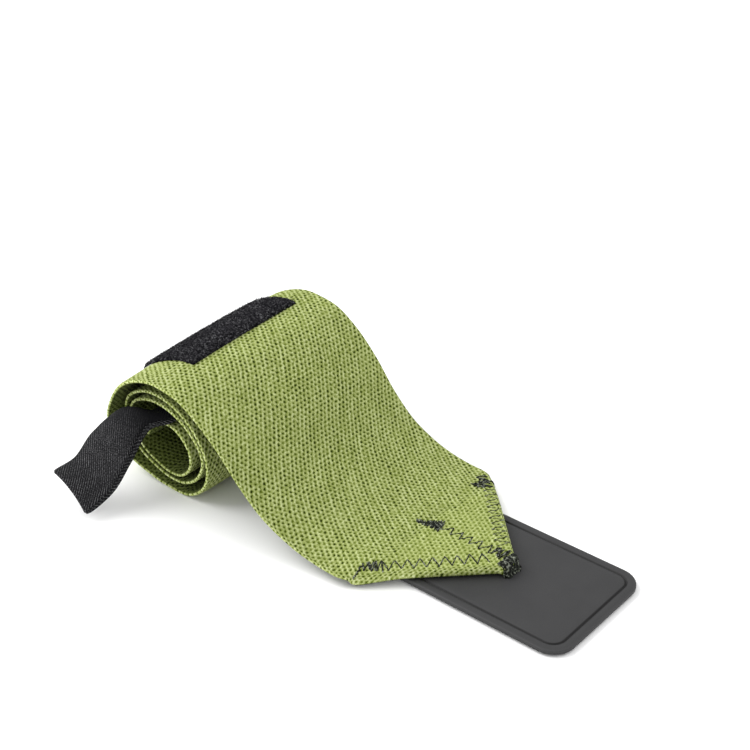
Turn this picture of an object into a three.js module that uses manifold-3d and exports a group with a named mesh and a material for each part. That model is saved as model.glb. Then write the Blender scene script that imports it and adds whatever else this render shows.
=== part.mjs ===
// An elastic wrist wrap, half unrolled: a woven band wound into a loose roll at one end,
// a pointed, folded other end with a rubber tab under it, a loop strip and a thumb loop.
// Millimetres. X runs along the band towards the tab, Y across it and Z up.
import * as THREE from "three";
import { mergeVertices } from "three/addons/utils/BufferGeometryUtils.js";
import Module from "manifold-3d";

const wasm = await Module();
wasm.setup();

// Driving dimensions of the pieces
const BAND_WIDTH = 80;
const BAND_THICKNESS = 1.8;
const TAB_LENGTH = 75;
const TAB_WIDTH = 50;
const TAB_THICKNESS = 1.6;
const TAB_CORNER = 8;
const HOOK_PAD_THICKNESS = 0.8;
const HOOK_PAD_INSET = 1.5;
const GROOVE_INSET = 3;
const GROOVE_WIDTH = 0.7;
const GROOVE_DEPTH = 0.5;
const STRIP_LENGTH = 56;
const STRIP_WIDTH = 25;
const STRIP_THICKNESS = 2.2;
const LOOP_WIDTH = 20;
const LOOP_THICKNESS = 1.2;

// How the wrap lies: the roll, the run down from it and the flat end
const CORE_RADIUS = 12;
const WINDING_SLACK = 6;
const RUN_OUT = 86;
const TIP_BLUNT = 8;
const TAB_SHOWN = 37;
const TIP_DROOP = 2;
const ROLL_CROWN = 1;
const ROLL_TAPER = 0.045;
const LATERAL_STEP = 6;
const LOOP_REACH = 32;
const LOOP_DEPTH = 22;
const LOOP_LEAN = -30;
const FIT_GAP = 0.3;

// How finely the curved pieces are cut
const STEPS_PER_ROLL_ROW = 2;
const STEPS_PER_RUN_ROW = 2;
const TIP_STEPS = 8;
const LOOP_STEPS_PER_ROW = 3;
const BAND_COLUMNS = [-1, -0.82, -0.64, -0.32, 0, 0.32, 0.64, 0.82, 1];
const LOOP_COLUMNS = [-1, -0.5, 0, 0.5, 1];

// The roll, a row for each twelfth of a turn clockwise from the left, seen from the thumb loop.
// core is the innermost turn's radius as a share of CORE_RADIUS. The other columns are the air
// under each next turn as a share of WINDING_SLACK, and the outer one ends at the top. plies is
// how many plies of the thumb loop the second turn goes round.
const ROLL_ROWS = [
  { degrees: 270, core: 0.79, second: 0.48, third: 0.15, outer: 0.9, plies: 2 },
  { degrees: 300, core: 0.69, second: 1.08, third: 0.12, outer: 0.2, plies: 2 },
  { degrees: 330, core: 0.66, second: 0.7, third: 0.22, outer: 0.6, plies: 2 },
  { degrees: 0, core: 0.68, second: 0.35, third: 0.2, outer: 1.25, plies: 2 },
  { degrees: 30, core: 0.76, second: 0.13, third: 0.15, plies: 2 },
  { degrees: 60, core: 0.86, second: 0.42, third: 0.05, plies: 1 },
  { degrees: 90, core: 1.02, second: 0.73, third: 0, plies: 0 },
  { degrees: 120, core: 1.1, second: 0.4, third: 0.35, plies: 0 },
  { degrees: 150, core: 1.08, second: 0.15, third: 0.47, plies: 0 },
  { degrees: 180, core: 0.99, second: 0.05, third: 0.42, plies: 0 },
  { degrees: 210, core: 0.97, second: 0.08, third: 0.57, plies: 0 },
  { degrees: 240, core: 1.17, second: 0.13, third: 0.8, plies: 0 },
];
const TURNS = ["core", "second", "third", "outer"];

// The run down from the roll's top. ahead is a share of RUN_OUT, high a share of the height of
// the roll's top over the flat end, cone the share of the roll's taper that is left there, and
// flat the share of the flat end's shape.
const RUN_ROWS = [
  { ahead: 0.093, high: 1.0, cone: 1, flat: 0 },
  { ahead: 0.18, high: 0.965, cone: 1, flat: 0 },
  { ahead: 0.29, high: 0.83, cone: 0.9, flat: 0 },
  { ahead: 0.395, high: 0.64, cone: 0.6, flat: 0 },
  { ahead: 0.49, high: 0.42, cone: 0.3, flat: 0 },
  { ahead: 0.605, high: 0.21, cone: 0.1, flat: 0.15 },
  { ahead: 0.744, high: 0.07, cone: 0, flat: 0.5 },
  { ahead: 0.87, high: 0.012, cone: 0, flat: 0.85 },
  { ahead: 1.0, high: 0.0, cone: 0, flat: 1 },
];

// The thumb loop's upper ply from the roll's end outwards, and its lower ply. out is a share of
// LOOP_REACH, side and high are shares of LOOP_WIDTH from the roll's centre, tilt turns its
// width down on the right, in degrees, and curl is a share of a bend of CORE_RADIUS across it.
const OVER_PLY = [
  { out: 0.19, side: -0.55, high: 0.675, tilt: -10, curl: 0.7 },
  { out: 0.47, side: -0.59, high: 0.23, tilt: 14, curl: 0.3 },
  { out: 0.72, side: -0.66, high: -0.25, tilt: 21, curl: 0.1 },
  { out: 1.0, side: -0.71, high: -0.445, tilt: 35, curl: 0 },
];
const UNDER_PLY = [
  { out: 0.16, side: -0.47, high: 0.52, tilt: -5, curl: 0.6 },
  { out: 0.41, side: -0.54, high: 0.08, tilt: 14, curl: 0.3 },
  { out: 0.64, side: -0.63, high: -0.37, tilt: 21, curl: 0.1 },
  { out: 0.955, side: -0.7, high: -0.52, tilt: 35, curl: 0 },
];

// Levels and places that follow from the sizes
const TAB_BOTTOM = HOOK_PAD_THICKNESS;
const TAB_TOP = TAB_BOTTOM + TAB_THICKNESS;
const FOLD_BOTTOM = TAB_TOP + FIT_GAP;
const FLAT_LEVEL = FOLD_BOTTOM + 1.5 * BAND_THICKNESS;
const CORNER_X = -TAB_SHOWN - (BAND_WIDTH - TIP_BLUNT) / 2;
const ROLL_X = CORNER_X - RUN_OUT;
const ROLL_Z = rollCentreHeight();
const ROLL_END_Y = -BAND_WIDTH / 2 + LATERAL_STEP / 2;

function lerpRow(a, b, t) {
  return Object.fromEntries(Object.keys(a).map((key) => [key, a[key] + (b[key] - a[key]) * t]));
}

function smoothStep(t) {
  const u = THREE.MathUtils.clamp(t, 0, 1);
  return u * u * (3 - 2 * u);
}

// The radius of the band's middle at each row, from the inner end to the roll's top
function rollRadii() {
  const radii = [];
  TURNS.forEach((turn, pass) => {
    ROLL_ROWS.forEach((row, i) => {
      if (row[turn] === undefined) return;
      const below = radii[(pass - 1) * ROLL_ROWS.length + i];
      const plies = pass === 1 ? row.plies * (LOOP_THICKNESS + FIT_GAP) : 0;
      const step = BAND_THICKNESS + FIT_GAP + plies + row[turn] * WINDING_SLACK;
      radii.push(pass ? below + step : row.core * CORE_RADIUS);
    });
  });
  return radii;
}

// The roll's middle line about its own centre, seen from the side
function rollPoints() {
  return rollRadii().map((radius, i) => {
    const angle = THREE.MathUtils.degToRad(ROLL_ROWS[i % ROLL_ROWS.length].degrees);
    return new THREE.Vector3(radius * Math.sin(angle), 0, radius * Math.cos(angle));
  });
}

// The height of the roll's centre with its outermost turn resting on the surface
function rollCentreHeight() {
  const around = new THREE.CatmullRomCurve3(rollPoints()).getPoints(20 * rollPoints().length);
  return BAND_THICKNESS / 2 - Math.min(...around.map((p) => p.z));
}

// Where the band's middle line goes, seen from the side, with what changes along it
function bandStations() {
  const points = rollPoints();
  const settled = points.length - 1 - ROLL_ROWS.length / 2;
  const stations = points.map((point, i) => {
    const late = smoothStep((i - settled) / (points.length - 1 - settled));
    return {
      x: ROLL_X + point.x,
      z: ROLL_Z + point.z,
      shift: LATERAL_STEP * (0.5 - late),
      cone: 1,
      flat: 0,
      crown: late,
    };
  });
  const top = stations[stations.length - 1];
  RUN_ROWS.forEach((row) => {
    stations.push({
      x: ROLL_X + row.ahead * RUN_OUT,
      z: FLAT_LEVEL + row.high * (top.z - FLAT_LEVEL),
      shift: top.shift * (1 - row.flat),
      cone: row.cone,
      flat: row.flat,
      crown: 1 - row.flat,
    });
  });
  return { stations, rollCount: points.length };
}

// A point of the roll or of what is in it, with the roll's taper from its near to its far end
function tapered(point, cone) {
  const across = THREE.MathUtils.clamp(point.y / (BAND_WIDTH / 2), -1, 1);
  const scale = 1 + ROLL_TAPER * cone * across;
  return new THREE.Vector3(ROLL_X + (point.x - ROLL_X) * scale, point.y, point.z * scale);
}

// Cross-sections of the rolled band up to where the pointed end begins
function bandSections() {
  const { stations, rollCount } = bandStations();
  const curve = new THREE.CatmullRomCurve3(stations.map((s) => new THREE.Vector3(s.x, 0, s.z)));
  const last = stations.length - 1;
  const sections = [];
  for (let i = 0; i < last; i++) {
    const steps = i < rollCount - 1 ? STEPS_PER_ROLL_ROW : STEPS_PER_RUN_ROW;
    for (let k = 0; k < steps; k++) {
      const t = k / steps;
      sections.push(sectionAt(curve, (i + t) / last, lerpRow(stations[i], stations[i + 1], t)));
    }
  }
  return sections;
}

function sectionAt(curve, u, row) {
  const along = curve.getTangent(u);
  return {
    middle: curve.getPoint(u),
    outward: new THREE.Vector3(-along.z, 0, along.x),
    halfWidth: BAND_WIDTH / 2,
    inner: BAND_THICKNESS / 2,
    ...row,
  };
}

// The pointed end: its corners are folded under it, so it is two plies thick
function tipSections() {
  const half = BAND_WIDTH / 2;
  const blunt = TIP_BLUNT / 2;
  const rows = [];
  for (let k = 0; k <= TIP_STEPS; k++) {
    const cut = (k / TIP_STEPS) * (half - blunt);
    rows.push({ x: CORNER_X + cut, halfWidth: half - cut });
  }
  rows.push({ x: CORNER_X + half - blunt / 2, halfWidth: blunt / 2 });
  return rows.map((row) => ({
    middle: new THREE.Vector3(row.x, 0, FLAT_LEVEL),
    outward: new THREE.Vector3(0, 0, 1),
    halfWidth: row.halfWidth,
    inner: 1.5 * BAND_THICKNESS,
    shift: 0,
    cone: 0,
    flat: 1,
    crown: 0,
  }));
}

// A point of the band: across runs from -1 to 1, and lift is measured out from its middle
function bandPoint(section, across, lift) {
  const y = across * section.halfWidth;
  const crown = ROLL_CROWN * section.crown * (1 - across * across);
  const point = section.middle.clone().addScaledVector(section.outward, lift + crown);
  const past = (Math.abs(y) - TAB_WIDTH / 2) / (BAND_WIDTH / 2 - TAB_WIDTH / 2);
  point.y = y + section.shift;
  point.z -= TIP_DROOP * section.flat * smoothStep(past);
  return tapered(point, section.cone);
}

// A closed skin over a row of rings, each the same number of points, with flat ends
function skinOf(rings) {
  const size = rings[0].length;
  const positions = rings.flat().flatMap((p) => [p.x, p.y, p.z]);
  const faces = [];
  for (let i = 0; i + 1 < rings.length; i++) {
    for (let j = 0; j < size; j++) {
      const next = (j + 1) % size;
      const a = i * size + j;
      const b = i * size + next;
      faces.push(a, a + size, b, b, a + size, b + size);
    }
  }
  const columns = size / 2 - 1;
  const lastRing = (rings.length - 1) * size;
  for (let j = 0; j < columns; j++) {
    const up = j;
    const down = size - 1 - j;
    faces.push(up, up + 1, down, up + 1, down - 1, down);
    faces.push(lastRing + up, lastRing + down, lastRing + up + 1);
    faces.push(lastRing + up + 1, lastRing + down, lastRing + down - 1);
  }
  const geometry = new THREE.BufferGeometry();
  geometry.setAttribute("position", new THREE.Float32BufferAttribute(positions, 3));
  geometry.setIndex(faces);
  return geometry;
}

// A ring of points over the outer side of one section and back along its inner side
function ringOf(columns, pointAt) {
  const back = [...columns].reverse();
  return [...columns.map((a) => pointAt(a, 1)), ...back.map((a) => pointAt(a, -1))];
}

function bandGeometry() {
  const sections = [...bandSections(), ...tipSections()];
  return skinOf(
    sections.map((s) =>
      ringOf(BAND_COLUMNS, (a, side) => bandPoint(s, a, side > 0 ? BAND_THICKNESS / 2 : -s.inner)),
    ),
  );
}

// The loop strip lies on the band's outer side, its front edge at the roll's crest
function stripGeometry() {
  const sections = bandSections();
  const heights = sections.map((s) => s.middle.z);
  const crest = heights.lastIndexOf(Math.max(...heights));
  let first = crest;
  let length = 0;
  while (length < STRIP_WIDTH) {
    length += sections[first].middle.distanceTo(sections[first - 1].middle);
    first--;
  }
  const share = STRIP_LENGTH / BAND_WIDTH;
  const base = BAND_THICKNESS / 2 + FIT_GAP;
  return skinOf(
    sections.slice(first, crest + 1).map((s) =>
      ringOf(BAND_COLUMNS, (a, side) =>
        bandPoint(s, a * share, side > 0 ? base + STRIP_THICKNESS : base),
      ),
    ),
  );
}

function roundedOutline(length, width, corner) {
  const shape = new THREE.Shape();
  const half = width / 2;
  shape.moveTo(-length + corner, -half);
  shape.lineTo(-corner, -half);
  shape.absarc(-corner, -half + corner, corner, -Math.PI / 2, 0);
  shape.lineTo(0, half - corner);
  shape.absarc(-corner, half - corner, corner, 0, Math.PI / 2);
  shape.lineTo(-length + corner, half);
  shape.absarc(-length + corner, half - corner, corner, Math.PI / 2, Math.PI);
  shape.lineTo(-length, -half + corner);
  shape.absarc(-length + corner, -half + corner, corner, Math.PI, 1.5 * Math.PI);
  return shape;
}

function plate(length, width, corner, thickness, endX, bottom) {
  const geometry = new THREE.ExtrudeGeometry(roundedOutline(length, width, corner), {
    depth: thickness,
    bevelEnabled: false,
    curveSegments: 8,
  });
  return geometry.translate(endX, 0, bottom);
}

function solidOf(geometry) {
  const bare = geometry.clone();
  bare.deleteAttribute("normal");
  bare.deleteAttribute("uv");
  const merged = mergeVertices(bare);
  return new wasm.Manifold(
    new wasm.Mesh({
      numProp: 3,
      vertProperties: merged.attributes.position.array,
      triVerts: new Uint32Array(merged.index.array),
    }),
  );
}

function geometryOf(solid) {
  const mesh = solid.getMesh();
  const geometry = new THREE.BufferGeometry();
  geometry.setAttribute("position", new THREE.BufferAttribute(mesh.vertProperties, 3));
  geometry.setIndex(new THREE.BufferAttribute(mesh.triVerts, 1));
  return geometry;
}

// The rubber tab, with a moulded groove that runs round it inside its rim
function tabGeometry() {
  const depth = 2 * GROOVE_DEPTH;
  const cutAt = (inset) =>
    plate(
      TAB_LENGTH - 2 * inset,
      TAB_WIDTH - 2 * inset,
      TAB_CORNER - inset,
      depth,
      -inset,
      TAB_TOP - GROOVE_DEPTH,
    );
  const body = plate(TAB_LENGTH, TAB_WIDTH, TAB_CORNER, TAB_THICKNESS, 0, TAB_BOTTOM);
  const groove = solidOf(cutAt(GROOVE_INSET)).subtract(solidOf(cutAt(GROOVE_INSET + GROOVE_WIDTH)));
  return geometryOf(solidOf(body).subtract(groove));
}

function hookPadGeometry() {
  return plate(
    TAB_LENGTH - 2 * HOOK_PAD_INSET,
    TAB_WIDTH - 2 * HOOK_PAD_INSET,
    TAB_CORNER - HOOK_PAD_INSET,
    HOOK_PAD_THICKNESS,
    -HOOK_PAD_INSET,
    0,
  );
}

// A row of the loop where it is still wrapped round the innermost turn
function loopRoot(out, plyRadius) {
  const lean = THREE.MathUtils.degToRad(LOOP_LEAN);
  return {
    out,
    side: (plyRadius * Math.sin(lean)) / LOOP_WIDTH,
    high: (plyRadius * Math.cos(lean)) / LOOP_WIDTH,
    tilt: LOOP_LEAN,
    curl: CORE_RADIUS / plyRadius,
  };
}

// The loop's two plies as one row of sections, out along the upper ply and back along the lower
function loopRows() {
  const hugged = ROLL_ROWS.filter((row) => row.plies === 2).map((row) => row.core * CORE_RADIUS);
  const under = Math.max(...hugged) + BAND_THICKNESS / 2 + FIT_GAP + LOOP_THICKNESS / 2;
  const over = under + LOOP_THICKNESS + FIT_GAP;
  const inside = -LOOP_DEPTH / LOOP_REACH;
  return [
    loopRoot(inside, over),
    loopRoot(inside / 2, over),
    loopRoot(0, over),
    ...OVER_PLY,
    ...[...UNDER_PLY].reverse(),
    loopRoot(0, under),
    loopRoot(inside / 2, under),
    loopRoot(inside, under),
  ];
}

// One point of the loop's middle surface, across from -1 to 1
function loopPoint(row, across) {
  const arc = (across * LOOP_WIDTH) / 2;
  const bend = row.curl / CORE_RADIUS;
  const flatwise = bend ? Math.sin(bend * arc) / bend : arc;
  const sag = bend ? (Math.cos(bend * arc) - 1) / bend : 0;
  const tilt = THREE.MathUtils.degToRad(row.tilt);
  const point = new THREE.Vector3(
    ROLL_X + row.side * LOOP_WIDTH + flatwise * Math.cos(tilt) + sag * Math.sin(tilt),
    ROLL_END_Y - row.out * LOOP_REACH,
    ROLL_Z + row.high * LOOP_WIDTH - flatwise * Math.sin(tilt) + sag * Math.cos(tilt),
  );
  return tapered(point, 1);
}

function loopGeometry() {
  const rows = loopRows();
  const lines = LOOP_COLUMNS.map(
    (a) => new THREE.CatmullRomCurve3(rows.map((row) => loopPoint(row, a))),
  );
  const count = (rows.length - 1) * LOOP_STEPS_PER_ROW;
  const rings = [];
  for (let i = 0; i <= count; i++) {
    const u = i / count;
    const points = lines.map((line) => line.getPoint(u));
    const width = points[points.length - 1].clone().sub(points[0]).normalize();
    const ring = (a, side) => {
      const j = LOOP_COLUMNS.indexOf(a);
      const outward = lines[j].getTangent(u).cross(width).normalize();
      return points[j].clone().addScaledVector(outward, (side * LOOP_THICKNESS) / 2);
    };
    rings.push(ringOf(LOOP_COLUMNS, ring));
  }
  return skinOf(rings);
}

function piece(name, geometry, color, roughness) {
  const material = new THREE.MeshStandardMaterial({ color, roughness, metalness: 0 });
  const mesh = new THREE.Mesh(geometry, material);
  mesh.name = name;
  return mesh;
}

const laidOut = new THREE.Group();
laidOut.add(
  piece("elastic_band", bandGeometry(), 0x8fa83f, 0.95),
  piece("loop_strip", stripGeometry(), 0x222226, 1),
  piece("thumb_loop", loopGeometry(), 0x2c2c2e, 0.9),
  piece("rubber_tab", tabGeometry(), 0x4a4a4b, 0.6),
  piece("hook_pad", hookPadGeometry(), 0x1c1c1e, 1),
);

// The origin is at the middle of the wrap's footprint, on the surface that it lies on
const box = new THREE.Box3().setFromObject(laidOut);
const centre = box.getCenter(new THREE.Vector3());
laidOut.position.set(-centre.x, -centre.y, -box.min.z);

const wristWrap = new THREE.Group();
wristWrap.add(laidOut);

export default wristWrap;
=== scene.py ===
"""An elastic wrist wrap, half unrolled, on a pale floor.

Sizes and places are millimetres in the wrap's own layout: x is 0 at the outer end of the tab and
grows towards it, y is 0 along the middle of the tab, and z is 0 on the floor.
"""

import math

import bpy
import numpy as np
from mathutils import Euler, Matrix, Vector
from mathutils.bvhtree import BVHTree


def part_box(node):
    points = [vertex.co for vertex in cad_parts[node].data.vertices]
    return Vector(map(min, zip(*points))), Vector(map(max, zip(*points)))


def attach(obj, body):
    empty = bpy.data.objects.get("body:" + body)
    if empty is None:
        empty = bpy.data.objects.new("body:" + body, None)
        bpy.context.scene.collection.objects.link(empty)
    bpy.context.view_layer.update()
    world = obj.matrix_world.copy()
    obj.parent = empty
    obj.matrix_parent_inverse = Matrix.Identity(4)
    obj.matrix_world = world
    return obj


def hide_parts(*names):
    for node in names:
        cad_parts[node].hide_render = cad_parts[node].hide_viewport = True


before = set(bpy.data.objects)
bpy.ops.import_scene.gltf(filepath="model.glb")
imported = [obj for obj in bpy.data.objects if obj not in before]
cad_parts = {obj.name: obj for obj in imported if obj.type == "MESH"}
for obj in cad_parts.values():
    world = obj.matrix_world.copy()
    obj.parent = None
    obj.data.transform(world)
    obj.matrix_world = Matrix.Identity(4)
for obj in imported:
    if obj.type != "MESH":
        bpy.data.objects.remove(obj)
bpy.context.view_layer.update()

MM = 0.001
TAU = 2 * math.pi

# The sizes of the pieces, as the solids have them
BAND_WIDTH = 80
BAND_THICKNESS = 1.8
TAB_LENGTH = 75
TAB_WIDTH = 50
TAB_THICKNESS = 1.6
TAB_CORNER = 8
HOOK_PAD_THICKNESS = 0.8
HOOK_PAD_INSET = 1.5
GROOVE_INSET = 3
GROOVE_WIDTH = 0.7
GROOVE_DEPTH = 0.5
STRIP_LENGTH = 56
STRIP_WIDTH = 25
LOOP_WIDTH = 20
LOOP_THICKNESS = 1.2

# How the wrap lies
CORE_RADIUS = 12
WINDING_SLACK = 6
RUN_OUT = 86
TIP_BLUNT = 8
TAB_SHOWN = 37
TIP_DROOP = 2
ROLL_CROWN = 1
ROLL_TAPER = 0.045
LATERAL_STEP = 6
LOOP_REACH = 32
LOOP_DEPTH = 22
LOOP_LEAN = -30
FIT_GAP = 0.3

# The roll, a row for each twelfth of a turn: its angle, the innermost turn's radius as a share of
# CORE_RADIUS, the air under each next turn as a share of WINDING_SLACK, and the thumb loop's
# plies that the second turn goes round
ROLL_ROWS = [
    dict(degrees=270, core=0.79, second=0.48, third=0.15, outer=0.9, plies=2),
    dict(degrees=300, core=0.69, second=1.08, third=0.12, outer=0.2, plies=2),
    dict(degrees=330, core=0.66, second=0.7, third=0.22, outer=0.6, plies=2),
    dict(degrees=0, core=0.68, second=0.35, third=0.2, outer=1.25, plies=2),
    dict(degrees=30, core=0.76, second=0.13, third=0.15, plies=2),
    dict(degrees=60, core=0.86, second=0.42, third=0.05, plies=1),
    dict(degrees=90, core=1.02, second=0.73, third=0),
    dict(degrees=120, core=1.1, second=0.4, third=0.35),
    dict(degrees=150, core=1.08, second=0.15, third=0.47),
    dict(degrees=180, core=0.99, second=0.05, third=0.42),
    dict(degrees=210, core=0.97, second=0.08, third=0.57),
    dict(degrees=240, core=1.17, second=0.13, third=0.8),
]
TURNS = ["core", "second", "third", "outer"]

# The run down from the roll's top: ahead is a share of RUN_OUT, high a share of the top's height
# over the flat end, cone the share of the roll's taper left there, flat that of the flat end
RUN_ROWS = [
    dict(ahead=0.093, high=1.0, cone=1, flat=0),
    dict(ahead=0.18, high=0.965, cone=1, flat=0),
    dict(ahead=0.29, high=0.83, cone=0.9, flat=0),
    dict(ahead=0.395, high=0.64, cone=0.6, flat=0),
    dict(ahead=0.49, high=0.42, cone=0.3, flat=0),
    dict(ahead=0.605, high=0.21, cone=0.1, flat=0.15),
    dict(ahead=0.744, high=0.07, cone=0, flat=0.5),
    dict(ahead=0.87, high=0.012, cone=0, flat=0.85),
    dict(ahead=1.0, high=0.0, cone=0, flat=1),
]

# The thumb loop's plies from the roll's end outwards, as shares of LOOP_REACH and LOOP_WIDTH
OVER_PLY = [
    dict(out=0.19, side=-0.55, high=0.675, tilt=-10, curl=0.7),
    dict(out=0.47, side=-0.59, high=0.23, tilt=14, curl=0.3),
    dict(out=0.72, side=-0.66, high=-0.25, tilt=21, curl=0.1),
    dict(out=1.0, side=-0.71, high=-0.445, tilt=35, curl=0),
]
UNDER_PLY = [
    dict(out=0.16, side=-0.47, high=0.52, tilt=-5, curl=0.6),
    dict(out=0.41, side=-0.54, high=0.08, tilt=14, curl=0.3),
    dict(out=0.64, side=-0.63, high=-0.37, tilt=21, curl=0.1),
    dict(out=0.955, side=-0.7, high=-0.52, tilt=35, curl=0),
]

# Levels and places that follow from the sizes
HALF_BAND = BAND_WIDTH / 2
TAB_TOP = HOOK_PAD_THICKNESS + TAB_THICKNESS
FLAT_LEVEL = TAB_TOP + FIT_GAP + 1.5 * BAND_THICKNESS
CORNER_X = -TAB_SHOWN - (BAND_WIDTH - TIP_BLUNT) / 2
ROLL_X = CORNER_X - RUN_OUT
ROLL_END_Y = -HALF_BAND + LATERAL_STEP / 2

# The band's middle line: steps to each row of the tables, to each where only the roll's lowest
# point is sought, and the length of a step at the flat tip
LINE_STEPS = 40
SEARCH_STEPS = 20
TIP_STEP = 0.5

# The last points of the line, where x only grows, and the band's least height over the floor
FLAT_END = slice(-100, None)
LOWEST = 0.03

# The band's rounded edges, of one ply and of two, and where the mesh has points round them
EDGE_RADIUS = 0.7
FOLD_RADIUS = 1.5
EDGE_DEGREES = [25, 60, 90, 120, 155]

# The knit's mesh: four steps to each repeat of its pattern both ways, and coarser on the inner side
# and along the hidden share of the way to the corners
STITCH_COLUMNS = 164
STITCH_ROW = 0.725
COLUMN_STEP = (BAND_WIDTH - 2 * EDGE_RADIUS) / STITCH_COLUMNS
REPEAT_ACROSS = 4 * COLUMN_STEP
REPEAT_ALONG = 4 * STITCH_ROW
HIDDEN_ROW = 3 * STITCH_ROW
HIDDEN_SHARE = 0.44
INNER_COLUMNS = 24

# The knit's relief: its holes, its finer selvage, slow swells, and rows a little out of line
STITCH_DEPTH = 0.1
SELVAGE = 2.2
SELVAGE_DEPTH = 0.04
SWELL = 0.05
STAGGER = 0.16
STAGGER_FADE = 2

# The woven edges: how much thinner the band gets there, from how far inside them, over what width
EDGE_THINNING = 0.5
THIN_FROM = 3.5
THIN_OVER = 3

# The pointed end's outline: how gently it turns at the corners, and where its nose is rounded
CORNER_EASE = 4.5
NOSE_START = HALF_BAND - 4.6
NOSE_END = HALF_BAND - 1.6
NOSE_POWER = 2.5
LEAST_HALF = 0.1

# The folded end: how soon it is two plies, the ridge and hollow that cross it ahead of the corners,
# and the dip along its middle seam
FOLD_START = 1.5
FOLD_REACH = 34
FOLD_FADE = 8
FOLDS_APART = 0.7
RIDGE = dict(middle=5.4, spread=1.5, height=0.25)
HOLLOW = dict(middle=1.8, spread=1.9, height=0.35)
SEAM_DIP = dict(middle=1.2, spread=3.0, height=0.3)
SEAM_AHEAD = 8
SEAM_FADE = 6

tab_low, tab_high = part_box("rubber_tab")
ORIGIN = Vector((tab_high.x, (tab_low.y + tab_high.y) / 2, 0))


def smooth_step(t):
    u = np.clip(t, 0, 1)
    return u * u * (3 - 2 * u)


def hump(at, middle, spread, height=1):
    return height * np.exp(-(((at - middle) / spread) ** 2))


def curve_through(points, steps):
    """A centripetal curve through the points, with that many steps from each to the next."""
    p = np.asarray(points, float)
    p = np.vstack([2 * p[0] - p[1], p, 2 * p[-1] - p[-2]])
    gaps = np.sqrt(np.linalg.norm(np.diff(p, axis=0), axis=1))
    t = (np.arange(steps) / steps)[:, None]
    found = []
    for i in range(1, len(p) - 2):
        before, here, after = gaps[i - 1], gaps[i], gaps[i + 1]
        first = (p[i] - p[i - 1]) / before - (p[i + 1] - p[i - 1]) / (before + here)
        second = (p[i + 1] - p[i]) / here - (p[i + 2] - p[i]) / (here + after)
        leave = here * (first + (p[i + 1] - p[i]) / here)
        arrive = here * (second + (p[i + 2] - p[i + 1]) / after)
        square = 3 * (p[i + 1] - p[i]) - 2 * leave - arrive
        cube = 2 * (p[i] - p[i + 1]) + leave + arrive
        found.append(p[i] + leave * t + square * t**2 + cube * t**3)
    return np.vstack(found + [p[-2:-1]])


def between_rows(values, steps):
    """The values of the rows, with that many even steps from each to the next."""
    at = np.arange((len(values) - 1) * steps + 1) / steps
    return np.interp(at, np.arange(len(values)), values)


def distance_along(points):
    return np.concatenate([[0], np.cumsum(np.linalg.norm(np.diff(points, axis=0), axis=1))])


# The band's middle line


def roll_points():
    """The roll's middle line about its own centre, seen from the side."""
    radii, angles = [], []
    count = len(ROLL_ROWS)
    for i in range(len(TURNS) * count):
        row, turn = ROLL_ROWS[i % count], TURNS[i // count]
        if turn not in row:
            continue
        plies = row.get("plies", 0) * (LOOP_THICKNESS + FIT_GAP) if turn == "second" else 0
        step = BAND_THICKNESS + FIT_GAP + plies + row[turn] * WINDING_SLACK
        radii.append(row["core"] * CORE_RADIUS if turn == "core" else radii[i - count] + step)
        angles.append(math.radians(row["degrees"]))
    radii, angles = np.array(radii), np.array(angles)
    return np.column_stack([radii * np.sin(angles), radii * np.cos(angles)])


ROLL = roll_points()
ROLL_Z = BAND_THICKNESS / 2 - curve_through(ROLL, SEARCH_STEPS)[:, 1].min()


def run_column(name):
    return np.array([row[name] for row in RUN_ROWS])


def line_points():
    """The middle line's points: round the roll, down the run and on to the tip."""
    drop = ROLL_Z + ROLL[-1, 1] - FLAT_LEVEL
    run_x = ROLL_X + run_column("ahead") * RUN_OUT
    run_z = FLAT_LEVEL + run_column("high") * drop
    bends = np.vstack([ROLL + (ROLL_X, ROLL_Z), np.column_stack([run_x, run_z])])
    tip = np.arange(TIP_STEP, HALF_BAND, TIP_STEP)
    flat = np.column_stack([CORNER_X + tip, np.full(len(tip), FLAT_LEVEL)])
    return np.vstack([curve_through(bends, LINE_STEPS), flat])


def line_changes(count):
    """What changes along the middle line, at each of its points: sideways shift, taper and so on."""
    turns = len(ROLL)
    settled = turns - 1 - len(ROLL_ROWS) / 2
    late = smooth_step((np.arange(turns) - settled) / (turns - 1 - settled))
    flat = run_column("flat")
    rows = {
        "shift": np.concatenate([LATERAL_STEP * (0.5 - late), -LATERAL_STEP / 2 * (1 - flat)]),
        "cone": np.concatenate([np.ones(turns), run_column("cone")]),
        "flat": np.concatenate([np.zeros(turns), flat]),
        "crown": np.concatenate([late, 1 - flat]),
    }
    changes = {}
    for name, values in rows.items():
        fine = between_rows(values, LINE_STEPS)
        changes[name] = np.concatenate([fine, np.full(count - len(fine), fine[-1])])
    return changes


def band_line():
    """The band's middle line from the roll's inner end to the pointed end, with what changes."""
    line = line_points()
    along = distance_along(line)
    tangent = np.gradient(line, along, axis=0)
    tangent /= np.linalg.norm(tangent, axis=1)[:, None]
    rows = line_changes(len(line))
    rows.update(along=along, x=line[:, 0], z=line[:, 1])
    rows.update(out_x=-tangent[:, 1], out_z=tangent[:, 0])
    return rows


LINE = band_line()
CORNER_ALONG = np.interp(CORNER_X, LINE["x"][FLAT_END], LINE["along"][FLAT_END])
CREST_ALONG = LINE["along"][np.argmax(LINE["z"])]


def tapered(x, y, z, cone):
    """The roll's taper from its near to its far end."""
    scale = 1 + ROLL_TAPER * cone * np.clip(y / HALF_BAND, -1, 1)
    return np.stack([ROLL_X + (x - ROLL_X) * scale, y, z * scale], axis=-1)


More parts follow.
